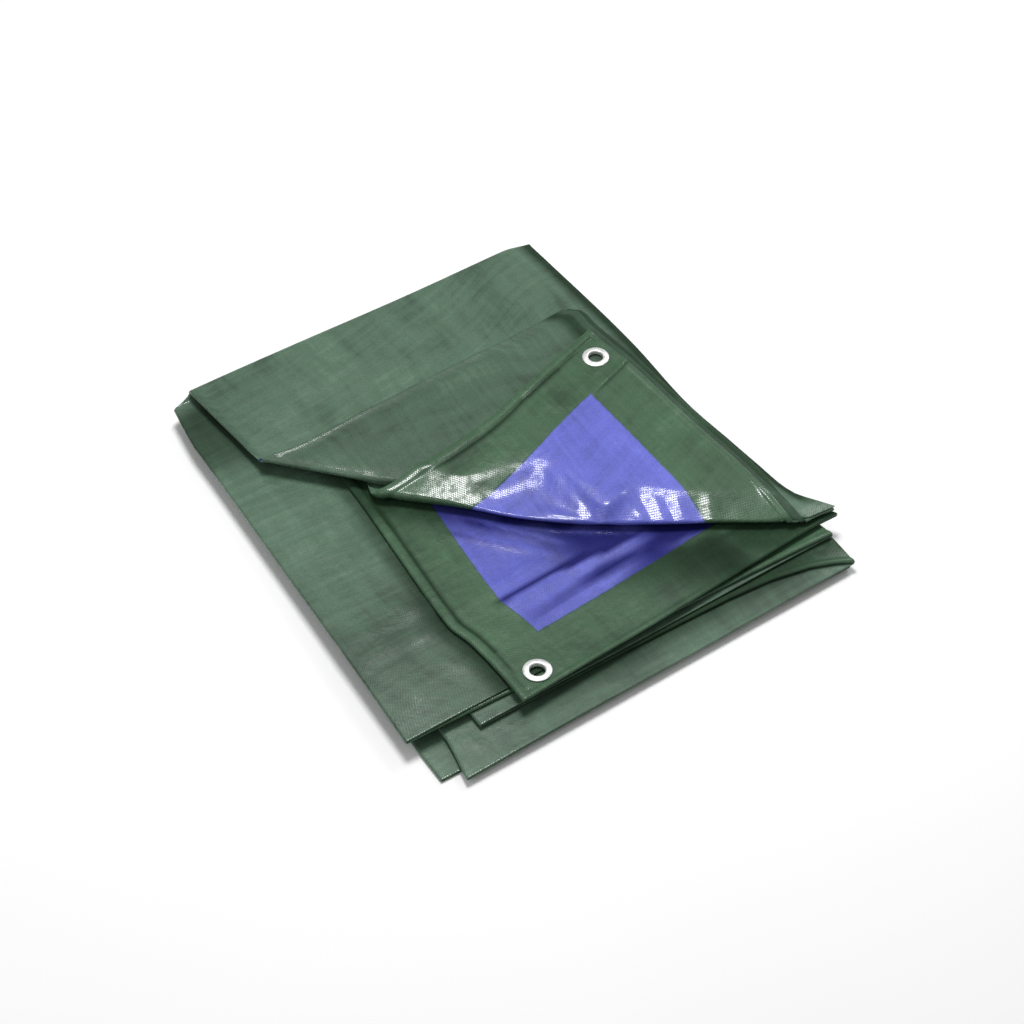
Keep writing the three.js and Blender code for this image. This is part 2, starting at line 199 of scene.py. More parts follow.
def crease_bow(a, out):
    """How far the roll bulges forward of the straight crease, more for the outermost ply."""
    return CREASE_BOW(a) + OUTER_PUSH * ease(1.5 * PITCH, 0.5 * PITCH, out)


def tip_of(a, out):
    """Where the fold of the ply at this height reaches, between the three plies' own tips."""
    u = np.clip(out / PITCH - 0.5, 0, 2)
    first, second, third = (tip(a) for tip in TIPS)
    return np.where(u < 1, mix(first, second, u), mix(second, third, u - 1))


def turned_at(a, out):
    """The distance in front of the crease that comes to lie at the tip."""
    return 2 * crease_bow(a, out) + np.pi * ROLL_R - tip_of(a, out)


def upper_side(a, b):
    """Height of the flap over the roll's axis behind the tip: up the slope, then level."""
    left = 1 - (TIPS[0](a) - b) / SLOPE_REACH(a)
    climbed = 1 - (left + np.sqrt(left * left + 0.006)) / 2
    share = np.clip(climbed, 0, 1) ** SLOPE_POWER(a)
    return mix(TIP_TOP(a), ROLL_R + PITCH, share)


def fold_path(a, before, out):
    """Place across the crease and height over the roll's axis of the cloth's middle, for a point
    that lay at distance before in front of the crease. Below the tip it runs forward and lifts,
    at the tip it turns on a small radius, and above it runs back by the reflection of its plan."""
    layer = out - PITCH / 2
    radius = ROLL_R + PITCH - layer
    tip = tip_of(a, out)
    beyond = before - turned_at(a, out)
    round_tip = TIP_ROUND(a)
    lower = TUCKED(a) / (TUCKED(a) + turned_at(a, out) - tip)
    drawn = np.where(
        lower < 1, np.maximum(-beyond * lower, tip - before), np.minimum(-beyond * lower, tip - before)
    )
    reach = np.where(beyond > 0, beyond, drawn)
    across = tip + round_tip * 0.8 - np.sqrt(reach**2 + (round_tip * 0.8) ** 2)
    top = upper_side(a, across) - layer
    tip_top = upper_side(a, tip) - layer
    tip_low = np.maximum(tip_top - 2 * round_tip, -radius)
    lift = np.clip(1 - (tip - across) / UNDERCUT, 0, 1) ** 1.5
    low = -radius + (tip_low + radius) * lift
    return across, mix(low, top, ease(-1.3, 1.3, beyond / round_tip))


def turn_back(x, y, out, rise):
    """Folds what lies beyond the crease over and back. rise is measured upwards from the cloth's
    middle before the turning, and goes along the path's normal."""
    a, b = to_crease(x, y)
    step = 0.05
    across, height = fold_path(a, b, out)
    next_across, next_height = fold_path(a, b + step, out)
    run, climb = next_across - across, next_height - height
    length = np.hypot(run, climb)
    px, py = from_crease(a, across - rise * climb / length)
    return px, py, ROLL_Z + height + rise * run / length


def settle(x, y, z):
    """The pad swells towards its back right corner, droops at its right side and has shallow
    waves, none at the floor."""
    loose = ease(1, 13, z)
    swell = SWELL * ease(-110, 170, x) * ease(-190, 110, y)
    waves = (
        0.9 * np.sin(x / 41 + y / 73 + 0.6)
        + 0.6 * np.sin(x / 67 - y / 38 + 2.1)
        + 0.3 * np.sin(x / 29 + 1.3) * np.sin(y / 33)
    )
    droop = DROOP * ease(152, 184, x) * ease(-165, -120, y)
    return np.maximum(z * (1 + swell - droop) + loose * waves, 0)


def corner_lift(ply, x, y):
    """The lower sheet's corner lies over the front rims of the plies beneath it."""
    near = np.hypot(x - LOWER_CORNER[0], y - LOWER_CORNER[1])
    return np.where(ply > 1, 0, CORNER_LIFT * ease(100, 30, near))


# Grid lines. Columns run across the sheet and rows along it.


def spaced(first, last, step):
    """Even values from first to last, both kept, about step apart."""
    return list(np.linspace(first, last, max(int(round(abs(last - first) / step)), 1) + 1))


RIM = [0, 0.5, 1.2, 2.2, 3.4, 4.6, 5.8, 7.0, 8.2, 9.4]
HEM_LINES = RIM + spaced(14, 45.5, 6.3) + [48.4, HEM_SQUARE]
FOLD_STEPS = 8


def column_table():
    """One row of numbers for each column: its ply, and its distance from the sheet's near side
    edge, its share of the ply, its angle round the fold to the next ply, or its distance from the
    sheet's far side edge. What doesn't apply is nan."""
    nan = np.nan
    rows = []
    corner = [0.82, 0.834, 0.848, 0.861, 0.873, 0.885, 0.897, 0.909, 0.921, 0.934, 0.95, 0.967]
    shares = {
        1: spaced(0.013, 0.80, 0.0122) + corner + [0.985, 1.0],
        2: [1 - s for s in ([1.0, 0.985] + corner[::-1])] + spaced(0.19, 0.7, 0.032)
        + spaced(0.72, 0.965, 0.0165) + [0.974, 0.982, 0.988, 0.993, 0.997, 1.0],
        3: spaced(0.0, 0.8, 0.019) + corner + [0.985, 1.0],
    }
    rows += [(1, side, nan, nan, nan) for side in HEM_LINES]
    for ply in range(1, LOWER_PLIES + 1):
        plain = [0, 0.012, 0.04, 0.1, *spaced(0.2, 0.8, 0.12), 0.9, 0.96, 0.988, 1]
        for share in shares.get(ply, plain):
            if not (ply == LOWER_PLIES and share == 1):
                rows.append((ply, nan, share, nan, nan))
        if ply < LOWER_PLIES:
            steps = FOLD_STEPS if ply < 4 else 6
            rows += [(ply, nan, nan, np.pi * n / steps, nan) for n in range(1, steps)]
    rows += [(LOWER_PLIES, nan, nan, nan, end) for end in RIM[:6][::-1]]
    ply, side, share, turn, end = np.array(rows).T
    return {"ply": ply.astype(int), "side": side, "share": share, "turn": turn, "end": end}


def edge_x(edges, index, y):
    """x of the numbered edge at y, for each point."""
    lines = np.stack([f(y) for f in edges])
    index = np.broadcast_to(np.clip(index, 0, len(edges) - 1), np.shape(y))
    return np.take_along_axis(lines, index[None], 0)[0]


def section(columns, edges, y):
    """x, distance out from the back fold's axis, and the way the green side faces, of each column
    at height y of the plan. Odd plies run to the right and even ones to the left."""
    ply = columns["ply"]
    way = np.where(ply % 2 == 1, 1.0, -1.0)
    pad = (slice(None),) + (None,) * (np.ndim(y) - 1)
    ply, way = (np.broadcast_to(v[pad], np.shape(y)) for v in (ply, way))
    side, share, turn, end = (
        np.broadcast_to(columns[k][pad], np.shape(y)) for k in ("side", "share", "turn", "end")
    )
    near, far = edge_x(edges, ply - 1, y), edge_x(edges, ply, y)
    start = near + np.where(ply == 1, 0, way * FOLD_R)
    stop = far - np.where(ply == LOWER_PLIES, 0, way * FOLD_R)
    first = start + np.where(ply == 1, HEM_SQUARE, 0)
    x = mix(first, stop, np.nan_to_num(share))
    x = np.where(np.isnan(side), x, start + np.nan_to_num(side))
    x = np.where(np.isnan(end), x, stop - np.nan_to_num(end))
    flat = np.isnan(turn)
    turn = np.nan_to_num(turn)
    x = np.where(flat, x, far - way * FOLD_R * (1 - np.sin(turn)))
    out = (ply - 0.5) * PITCH + np.where(flat, 0, FOLD_R * (1 - np.cos(turn)))
    face_x = np.where(flat, 0, -np.sin(turn))
    face_out = np.where(flat, way, way * np.cos(turn))
    return x, out, face_x, face_out


def lower_front(columns):
    """y of the lower front hem at each column."""
    ply = columns["ply"]
    share = np.where(ply == 1, mix(HEM_SQUARE / 300, 1, columns["share"]), columns["share"])
    share = np.where(np.isnan(columns["side"]), share, columns["side"] / 300)
    share = np.where(np.isnan(share), 1.0, share)
    share = np.where(ply == 5, share**8, share)
    return mix(LOWER_FRONTS[ply - 1], LOWER_FRONTS[ply], share)


def upper_front(columns):
    """y of the upper front hem at each column, found by repeated substitution."""
    y = np.full(len(columns["ply"]), -200.0)
    for _ in range(12):
        x = section(columns, UPPER_EDGES, y)[0]
        outer = OUTER_REACH[columns["ply"] - 1] * ease(150, 90, x)
        y = UPPER_FRONT(x) - outer
    return y


def crease_y(columns, front, past):
    """y at which each column lies this far past its fold's tip, by halving the interval."""
    low, high = front.copy(), np.full(len(front), BACK_Y)
    for _ in range(40):
        middle = (low + high) / 2
        x, out, _, _ = section(columns, UPPER_EDGES, middle)
        a, b = to_crease(x, middle)
        turned = b - turned_at(a, out) > past
        low = np.where(turned, middle, low)
        high = np.where(turned, high, middle)
    return high


# Rows of the upper half: from the hem to the first distance past the tip, and from each of them
# to the next, with the number of steps in each stretch and the least length of it
STRETCHES = [(36, 28, 3), (4, 12, 3), (-4, 13, 3), (-24, 4, 2), (-70, 5, 2)]
TOP_STEPS = 24
TURN_STEPS = 10
LOWER_SHARES = [*spaced(1, 0.56, 0.045), *spaced(0.545, 0, 0.0132)]


def upper_rows(columns):
    """y of every row of the upper half at every column. From the front hem: the hem's own lines,
    the turned-back flap, the slope, the tip, the tucked-in part and the top."""
    front = upper_front(columns)
    limits = []
    before = front + 2
    for past, _, least in STRETCHES:
        before = np.maximum(crease_y(columns, front, past), before + least)
        limits.append(before)
    hem = np.array(HEM_LINES)
    scale = np.clip((limits[0] - front) / (HEM_SQUARE + 6), 0.02, 1)
    rows = [front[:, None] + hem[None] * scale[:, None]]
    for limit, (_, steps, _) in zip(limits, STRETCHES):
        share = np.arange(1, steps + 1)[None] / steps
        rows.append(mix(rows[-1][:, -1:], limit[:, None], share))
    share = np.arange(1, TOP_STEPS + 1)[None] / TOP_STEPS
    rows.append(mix(rows[-1][:, -1:], BACK_Y, share))
    return np.hstack(rows), front


def lower_rows(columns):
    """y of every row of the lower half, from the back fold forward to the front hem."""
    front = lower_front(columns)
    hem_y = front[:, None] + np.array(HEM_LINES[::-1])[None]
    middle = mix(hem_y[:, :1], BACK_Y, np.array(LOWER_SHARES[:-1])[None])
    return np.hstack([middle, hem_y]), front


def bell(distance, middle, width):
    """1 at the middle, and 1/e at this width to either side of it."""
    return np.exp(-(((distance - middle) / width) ** 2))


def bead(distance, width, height):
    """Extra thickness of the hem's rim, where a cord runs inside it: half a round, then a groove."""
    middle = width / 2
    round_part = height * np.sqrt(np.clip(1 - ((distance - middle) / middle) ** 2, 0, 1))
    return round_part - 0.45 * height * bell(distance - width, 1.4, 1.3)


def fold_ridge(distance):
    """A stiff ridge just inside the turned plies' fold, this far from its edge, and a trough
    behind it."""
    return 0.6 * bell(distance, 1.5, 1.6) - 0.3 * bell(distance, 7, 3.5)


def old_crease(distance):
    """A ridge of the old packing crease, along a line this far from the front hem."""
    return 0.8 * np.clip(1 - np.abs(distance - CREASE_AT) / CREASE_HALF, 0, 1)


# Wrinkles: where they lie, the ends of the crest, how far its two sides reach and how far it
# rises, or sinks where that is below 0. The first side is the one to the left of the line.
FLAP, TOP, FLOOR, UNDER = "flap", "top", "lower", "under"
WRINKLES = [
    # place, x0, y0, x1, y1, left, right, rise
    (FLAP, 35, -8, 35, -102, 3.5, 4, -1.3),
    (FLAP, 35, -16, 58, -104, 12, 8, 0.7),
    (FLAP, 2, -50, 31, -88, 5, 9, 1.1),
    (FLAP, -22, -12, 30, -14, 8, 12, 0.8),
    (FLAP, 60, -74, 64, -112, 10, 6, 1.5),
    (FLAP, 82, -92, 76, -124, 5, 9, 1.3),
    (FLAP, 94, -104, 88, -132, 8, 5, 1.0),
    (FLAP, 118, -118, 104, -148, 7, 7, 0.7),
    (FLAP, -70, 47, -36, 20, 10, 8, 0.8),
    (FLAP, -40, 24, -30, -20, 6, 6, 0.6),
    (FLAP, 40, 60, 96, 10, 12, 12, 0.6),
    (FLAP, 6, 40, 60, 64, 14, 9, 0.5),
    (FLAP, 110, 40, 140, -50, 12, 10, 0.5),
    (FLOOR, -62, -28, -14, -85, 4, 6, 1.3),
    (FLOOR, -44, -26, 0, -80, 4, 5, 1.0),
    (FLOOR, -20, -40, 26, -84, 9, 6, 1.2),
    (FLOOR, 12, -64, 60, -104, 12, 8, 1.6),
    (FLOOR, -74, -112, -20, -108, 6, 12, 1.8),
    (FLOOR, -24, -107, 60, -112, 5, 10, 1.7),
    (FLOOR, -60, -140, 40, -128, 10, 9, 1.0),
    (FLOOR, 60, -128, 130, -140, 8, 8, 0.9),
    (UNDER, -192, -96, -150, -98, 6, 12, 0.9),
    (UNDER, -156, -98, -118, -106, 6, 10, 1.2),
    (UNDER, -168, -128, -169, -156, 4, 8, 1.3),
    (UNDER, -150, -60, -118, -84, 12, 7, 1.1),
    (UNDER, -170, 40, -130, -20, 14, 12, 1.1),
    (UNDER, -184, 90, -158, 60, 10, 12, 1.1),
    (UNDER, -140, -130, -112, -160, 8, 6, 1.1),
    (UNDER, -188, 164, -150, 150, 12, 5, 1.6),
    (TOP, 160, 188, 176, 166, 5, 8, 1.0),
    (TOP, -120, 150, -30, 196, 22, 14, 0.8),
    (TOP, -10, 205, 90, 150, 18, 16, 0.7),
    (TOP, -70, 116, 40, 142, 12, 16, 0.7),
    (TOP, -140, 190, -60, 150, 10, 14, -0.6),
    (TOP, 70, 196, 140, 176, 14, 10, 0.7),
    (TOP, 30, 118, 120, 130, 10, 10, 0.5),
]


def wrinkle(x, y, x0, y0, x1, y1, left, right, rise):
    """A crease between two slopes, highest on the line from end to end. It fades evenly to either
    side and towards both ends."""
    length = math.hypot(x1 - x0, y1 - y0)
    ux, uy = (x1 - x0) / length, (y1 - y0) / length
    s = ((x - x0) * ux + (y - y0) * uy) / length
    d = (x - x0) * -uy + (y - y0) * ux
    reach = np.where(d > 0, left, right)
    sharp = 0.12  # how far the crest is rounded
    t = np.clip(1 + sharp - np.sqrt((d / reach) ** 2 + sharp**2), 0, 1)
    fade = ease(-0.15, 0.3, s) * ease(1.15, 0.7, s)
    return rise * (0.65 * t + 0.35 * t * t) * fade


def relief(place, x, y):
    """The sum of the wrinkles of one place."""
    total = np.zeros(np.shape(x))
    for where, *row in WRINKLES:
        if where == place:
            total += wrinkle(x, y, *row)
    return total


def cloth_point(upper, ply, x, y, out, face_x, face_out, offset, crease):
    """A point of the sheet, offset from its middle towards its green side."""
    px = x + face_x * offset
    rise = face_out * offset - crease
    if upper:
        qx, qy, qz = turn_back(px, y, out, rise)
        a, b = to_crease(x, y)
        beyond = b > turned_at(a, out)
        qz = qz + np.where((ply == 1) & beyond, relief(FLAP, qx, qy), 0)
        qz = qz + np.where((ply == 3) & ~beyond, relief(TOP, qx, qy), 0)
        return qx, qy, settle(qx, qy, qz)
    z = AXIS_Z - out - rise + corner_lift(ply, px, y)
    z = z + np.where(ply == 1, relief(FLOOR, px, y), 0) + np.where(ply == 2, relief(UNDER, px, y), 0)
    return px, y, settle(px, y, z)


def half_thickness(inside, side, front):
    """Distance of a skin from the cloth's middle. The inside skin carries the hem's bead."""
    rim = np.where(np.minimum(side, front) <= 0, 0.55, 1.0)
    cord = np.maximum(bead(side, *BEAD), bead(front, *FRONT_BEAD))
    return np.where(inside, (CLOTH / 2 + cord) * rim, CLOTH / 2 * rim)


def lower_shade(inside, ply, x, y, edges):
    """Painted shade of the lower half: under the roll, beside the upper half and the lower triangle, on
    the plies that stand out in front, a little on the second ply towards its front, and on the far sides
    of the wrinkles."""
    ahead = to_crease(x, y)[1]
    floor = (ply == 1) * inside
    wide = ease(120, 34, ahead) * ease(-40, 20, x) * ease(142, 98, x)
    under_roll = np.maximum(wide, 0.8 * ease(60, 24, ahead)) * floor
    beside_top = 0.75 * ease(34, 6, x - UPPER_EDGES[2](y)) * ease(118, 150, y) * (ply == 2)
    beside_lower = 0.7 * ease(-22, -2, x - edges[0](y)) * (ply == 2) * ease(130, 90, y)
    front = 0.8 * ease(-221, -192, y) * (ply >= 5) * ease(-150, -60, x)
    # painted shade, a little, on the second ply towards its front, which also takes off some of its
    # gloss
    front_left = 0.16 * ease(-50, -100, y) * (ply == 2)
    # the slope of the wrinkles along the diagonal, over a base of 5 mm each way
    slope = relief(FLOOR, x + 2.5, y - 2.5) - relief(FLOOR, x - 2.5, y + 2.5)
    rucks = 0.9 * slope * floor * ease(120, 100, y)
    return under_roll + beside_top + beside_lower + front + front_left + rucks


def upper_shade(inside, ply, x, y, out, edges, across, from_hem):
    """Painted shade of the upper half: the band and the strips beside the flap's hem, beside the corner
    square's slit, and its end at the left. On its glossy crest the value goes below 0, for a stronger
    coat there."""
    a, b = to_crease(x, y)
    past = b - turned_at(a, out)
    beyond = past > 0
    rim = ease(26, 17, from_hem)
    strip3 = np.where((ply == 3) & beyond, 0.7 + 0.3 * ease(4, 9, from_hem), 0) * rim
    if inside:
        slit = 0.9 * ease(49.5, 50.2, across) * ease(53, 51, across) * ease(44, 36, from_hem)
        end = ease(9, 4, x - edges[2](y)) * (ply >= 2) * ~beyond
        crest = ease(42, 16, past) * ease(196, 170, x) * (ply == 1) * beyond
        return slit * (ply == 1) + strip3 + end - crest
    band = np.where((ply == 2) & beyond, 0.34, 0)
    strip = np.where((ply == 2) & beyond, 0.65 + 0.35 * ease(5, 10, from_hem), 0) * rim
    beside = np.where((ply == 3) & ~beyond, 0.95 * ease(16, 7, edges[3](y) - x), 0)
    return np.maximum(band, strip) + strip3 + beside * ease(-176, -150, y)


def soft_shade(upper, inside, ply, x, y, out, edges, across, from_hem):
    """Painted shade: how far the cloth's colour is dimmed, up to 1, in its folds, beside its raised
    edges and under its laps. Below 0, down to -1, its coat is made stronger, which strengthens its
    highlight."""
    ply = np.broadcast_to(ply, np.shape(y))
    # painted shade in the groove behind the side hem's bead
    groove = 0.95 * bell(across, GROOVE_AT, 1.6) * (ply == 1) * inside
    if upper:
        shade = groove + upper_shade(inside, ply, x, y, out, edges, across, from_hem)
        return np.clip(shade, -1, 1)
    return np.clip(groove + lower_shade(inside, ply, x, y, edges), -0.6, 1)


def sheet_grid(inside):
    """Points, cloth coordinates and shade of one skin of the whole sheet on its grid of columns
    and rows, and the number of rows in the upper half."""
    columns = column_table()
    sign = -1.0 if inside else 1.0
    ply = columns["ply"][:, None]
    side = np.where(np.isnan(columns["side"]), np.inf, columns["side"])
    side = np.minimum(side, np.where(np.isnan(columns["end"]), np.inf, columns["end"]))[:, None]
    parts = []
    upper_y, upper_hem = upper_rows(columns)
    lower_y, lower_hem = lower_rows(columns)
    back = np.full((len(ply), 1), BACK_Y)
    for upper, y, hem in ((True, upper_y, upper_hem), (False, lower_y, lower_hem)):
        edges = UPPER_EDGES if upper else LOWER_EDGES
        x, out, face_x, face_out = section(columns, edges, y)
        from_hem = np.maximum(y - hem[:, None], 0)
        offset = sign * half_thickness(inside, side, from_hem)
        crease = np.where(ply <= 2, old_crease(from_hem), 0)
        if upper:
            crease = crease + np.where(ply == 2, fold_ridge(x - edges[2](y)), 0)
        point = np.stack(cloth_point(upper, ply, x, y, out, face_x, face_out, offset, crease), -1)
        apart = 300 + (ply - 2) * 400  # each ply has its own part of the map
        across = np.where(ply == 1, x - edges[0](y), apart + np.abs(x - edge_x(edges, ply - 1, y)))
        shade = soft_shade(upper, inside, ply, x, y, out, edges, across, from_hem)
        parts.append((point, np.stack([across, from_hem], -1), shade))
    above = section(columns, UPPER_EDGES, back)
    below = section(columns, LOWER_EDGES, back)
    angle = np.linspace(0, 1, TURN_STEPS + 1)[None, 1:]
    offset = sign * CLOTH / 2
    x = mix(above[0], below[0], ease(0.5, 1.0, angle)) + above[2] * offset
    out = above[1] + above[3] * offset
    turn_y = BACK_Y + out * np.sin(angle * np.pi)
    turn = np.stack([x, turn_y, settle(x, turn_y, AXIS_Z + out * np.cos(angle * np.pi))], -1)
    upper_uv = parts[0][1]
    turn_uv = np.stack(
        [np.broadcast_to(upper_uv[:, -1:, 0], turn.shape[:2]),
         upper_uv[:, -1:, 1] + angle * np.pi * out], -1
    )
    points = np.concatenate([parts[0][0], turn, parts[1][0][:, 1:]], 1)
    cloth = np.concatenate([upper_uv, turn_uv, parts[1][1][:, 1:]], 1)
    turn_shade = np.broadcast_to(parts[0][2][:, -1:], turn.shape[:2])
    shade = np.concatenate([parts[0][2], turn_shade, parts[1][2][:, 1:]], 1)
    return columns, points, cloth, shade, parts[0][0].shape[1]


def shell_faces(kept):
    """Faces of a closed shell from two skins of one grid and a mask of the cells that are kept:
    the outside's, the inside's and the rim's. The rim joins the skins wherever a kept cell has no
    kept neighbour."""
    columns, rows = (size + 1 for size in kept.shape)
    index = np.arange(columns * rows).reshape(columns, rows)
    a, b = index[:-1, :-1], index[1:, :-1]
    c, d = index[1:, 1:], index[:-1, 1:]
    top = np.stack([a, b, c, d], -1)[kept]
    shift = columns * rows
    bottom = np.stack([a, d, c, b], -1)[kept] + shift
    padded = np.pad(kept, 1)
    rims = []
    ring = (a, b, c, d)
    steps = ((0, -1), (1, 0), (0, 1), (-1, 0))
    for n, (di, dj) in enumerate(steps):
        other = padded[1 + di:padded.shape[0] - 1 + di, 1 + dj:padded.shape[1] - 1 + dj]
        edge = kept & ~other
        p, q = ring[n][edge], ring[(n + 1) % 4][edge]
        rims.append(np.stack([p, p + shift, q + shift, q], -1))
    return top, bottom, np.concatenate(rims)


def mesh_object(name, points, faces, slots, cloth=None, flat=None, shade=None):
    """A mesh object from arrays, in metres, with a cloth map in metres if it has one. It is smooth
    apart from the faces marked flat."""
    flat = np.zeros(len(faces), bool) if flat is None else flat
    used, new = np.unique(faces.ravel(), return_inverse=True)
    faces = new.reshape(faces.shape)
    mesh = bpy.data.meshes.new(name)
    mesh.vertices.add(len(used))
    mesh.vertices.foreach_set("co", (points[used] * MM).astype(np.float32).ravel())
    mesh.loops.add(faces.size)
    mesh.loops.foreach_set("vertex_index", faces.ravel().astype(np.int32))
    mesh.polygons.add(len(faces))
    mesh.polygons.foreach_set("loop_start", np.arange(0, faces.size, 4, dtype=np.int32))
    mesh.polygons.foreach_set("material_index", slots.astype(np.int32))
    mesh.polygons.foreach_set("use_smooth", ~flat)
    if cloth is not None:
        layer = mesh.uv_layers.new(name="cloth")
        layer.data.foreach_set("uv", (cloth[used][faces.ravel()] * MM).astype(np.float32).ravel())
    if shade is not None:
        layer = mesh.attributes.new("shade", "FLOAT", "POINT")
        layer.data.foreach_set("value", shade[used].astype(np.float32))
    mesh.update(calc_edges=True)
    if flat.any():
        edge = np.empty(faces.size, np.int32)
        mesh.loops.foreach_get("edge_index", edge)
        sharp = np.zeros(len(mesh.edges), bool)
        sharp[edge.reshape(faces.shape)[flat].ravel()] = True
        mesh.edges.foreach_set("use_edge_sharp", sharp)
    mesh.validate()
    obj = bpy.data.objects.new(name, mesh)
    bpy.context.collection.objects.link(obj)
    return obj


def skin_arrays(skins):
    """The skins' points, cloth map and shade, each as one list, outside first."""
    sizes = (3, 2, 1)
    lists = zip(*([part.reshape(-1, size) for part, size in zip(skin, sizes)] for skin in skins))
    return [np.concatenate(parts) for parts in lists]


def cloth_object(name, node, skins, top, bottom, rest):
    """A piece of cloth from its two skins, each with points, cloth map and shade, and its faces:
    the outside's, the inside's, and the others, which are flat where they lie off the hems."""
    faces = np.concatenate([top, bottom, rest])
    skin_faces = len(top) + len(bottom)
    slots = np.zeros(len(faces))
    slots[len(top):skin_faces] = 1
    points, maps, shade = skin_arrays(skins)
    near = maps.min(1)[faces].min(1)
    flat = (np.arange(len(faces)) >= skin_faces) & (near > 0.01)
    obj = mesh_object(name, points, faces, slots, maps, flat, shade[:, 0])
    for material, inside in (("cloth_outside", False), ("cloth_inside", True)):
        made = bpy.data.materials.get(material) or cloth_finish(material, inside)
        obj.data.materials.append(made)
    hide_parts(node)
    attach(obj, "root")
    return obj


# Materials


class Socket:
    """A shader value that adds Math nodes as Python operators are used on it."""

    def __init__(self, finish, output):
        self.finish = finish
        self.output = output

    def math(self, operation, *values):
        return self.finish.node("ShaderNodeMath", {"operation": operation}, values)

    def __add__(self, other):
        return self.math("ADD", self, other)

    def __radd__(self, other):
        return self.math("ADD", self, other)

    def __sub__(self, other):
        return self.math("SUBTRACT", self, other)

    def __rsub__(self, other):
        return self.math("SUBTRACT", other, self)

    def __mul__(self, other):
        return self.math("MULTIPLY", self, other)

    def sin(self):
        return self.math("SINE", self)

    def least(self, other):
        return self.math("MINIMUM", self, other)

    def over(self, low, high, start=0.0, stop=1.0):
        """This value's run from low to high, smoothed, as start to stop."""
        settings = {"interpolation_type": "SMOOTHSTEP"}
        return self.finish.node(
            "ShaderNodeMapRange", settings,
            {"Value": self, "From Min": low, "From Max": high, "To Min": start, "To Max": stop},
        )


class Finish:
    """A material, its nodes and its Principled shader."""

    def __init__(self, name):
        self.material = bpy.data.materials.new(name)
        self.material.use_nodes = True
        self.tree = self.material.node_tree
        self.tree.nodes.clear()
        self.shader = self.tree.nodes.new("ShaderNodeBsdfPrincipled")
        output = self.tree.nodes.new("ShaderNodeOutputMaterial")
        self.tree.links.new(self.shader.outputs["BSDF"], output.inputs["Surface"])

    def put(self, socket, value):
        """Links a value to a socket, or sets the socket to it."""
        if isinstance(value, Socket):
            self.tree.links.new(value.output, socket)
        elif hasattr(socket.default_value, "__len__") and not hasattr(value, "__len__"):
            socket.default_value = [value] * len(socket.default_value)
        elif hasattr(value, "__len__") and len(value) == 3 and len(socket.default_value) == 4:
            socket.default_value = (*value, 1.0)
        else:
            socket.default_value = value

    def node(self, kind, settings=None, values=(), out=0):
        """Adds a node. Its settings go first, then the values or links of its sockets."""
        made = self.tree.nodes.new(kind)
        for key, value in (settings or {}).items():
            setattr(made, key, value)
        pairs = values.items() if isinstance(values, dict) else enumerate(values)
        for key, value in pairs:
            self.put(made.inputs[key], value)
        return Socket(self, made.outputs[out])

    def place(self):
        return self.node("ShaderNodeTexCoord", out="Object")

    def cloth(self):
        """The cloth map, and its two distances: from the side hem and from the front hem, in
        metres."""
        uv = self.node("ShaderNodeUVMap", {"uv_map": "cloth"})
        return uv, self.part(uv, "X"), self.part(uv, "Y")

    def part(self, vector, axis):
        return self.node("ShaderNodeSeparateXYZ", {}, [vector], axis)

    def stretched(self, at, scale):
        return self.node("ShaderNodeVectorMath", {"operation": "MULTIPLY"}, [at, scale])

    def noise(self, at, scale, detail=2.0, roughness=0.5, distortion=0.0):
        return self.node(
            "ShaderNodeTexNoise", {},
            {"Vector": at, "Scale": scale, "Detail": detail, "Roughness": roughness,
             "Distortion": distortion},
        )

    def ridges(self, at, scale):
        """Sharp-crested noise, for the crinkles of a stiff film."""
        return self.node(
            "ShaderNodeTexNoise", {"noise_type": "RIDGED_MULTIFRACTAL"},
            {"Vector": at, "Scale": scale, "Detail": 3.0, "Roughness": 0.5, "Lacunarity": 2.1,
             "Offset": 0.9, "Gain": 1.6, "Distortion": 0.3},
        )

    def blend(self, factor, first, second):
        """Mixes two colours."""
        return self.node(
            "ShaderNodeMix", {"data_type": "RGBA"}, {0: factor, 6: first, 7: second}, out=2
        )

    def dimmed(self, factor, colour, shade):
        """Multiplies a colour by a shade, as far as the factor says."""
        settings = {"data_type": "RGBA", "blend_type": "MULTIPLY"}
        return self.node("ShaderNodeMix", settings, {0: factor, 6: colour, 7: shade}, out=2)

    def bump(self, height, distance, strength=1.0, under=None):
        values = {"Height": height, "Distance": distance, "Strength": strength}
        if under is not None:
            values["Normal"] = under
        return self.node("ShaderNodeBump", {}, values)

    def set(self, **values):
        for key, value in values.items():
            self.put(self.shader.inputs[key.replace("_", " ")], value)


def woven(finish, across, along):
    """Height of the plain weave: flat tapes that pass over and under each other, as the product
    of two sines, one across and one along the cloth."""
    tape = bpy.context.scene.tarp_cloth.tape
    turn = math.pi / tape
    return (across * turn).sin() * (along * turn).sin()


def cloudy(finish, tone, dark_range, colour, dark, pale):
    """A colour with darker and paler clouds, by a noise."""
    dark_colour = tuple(c * dark for c in colour)
    pale_colour = tuple(min(c * pale + 0.01, 1) for c in colour)
    made = finish.blend(tone.over(*dark_range), dark_colour, tuple(colour))
    return finish.blend(tone.over(0.5, 0.66), made, pale_colour)


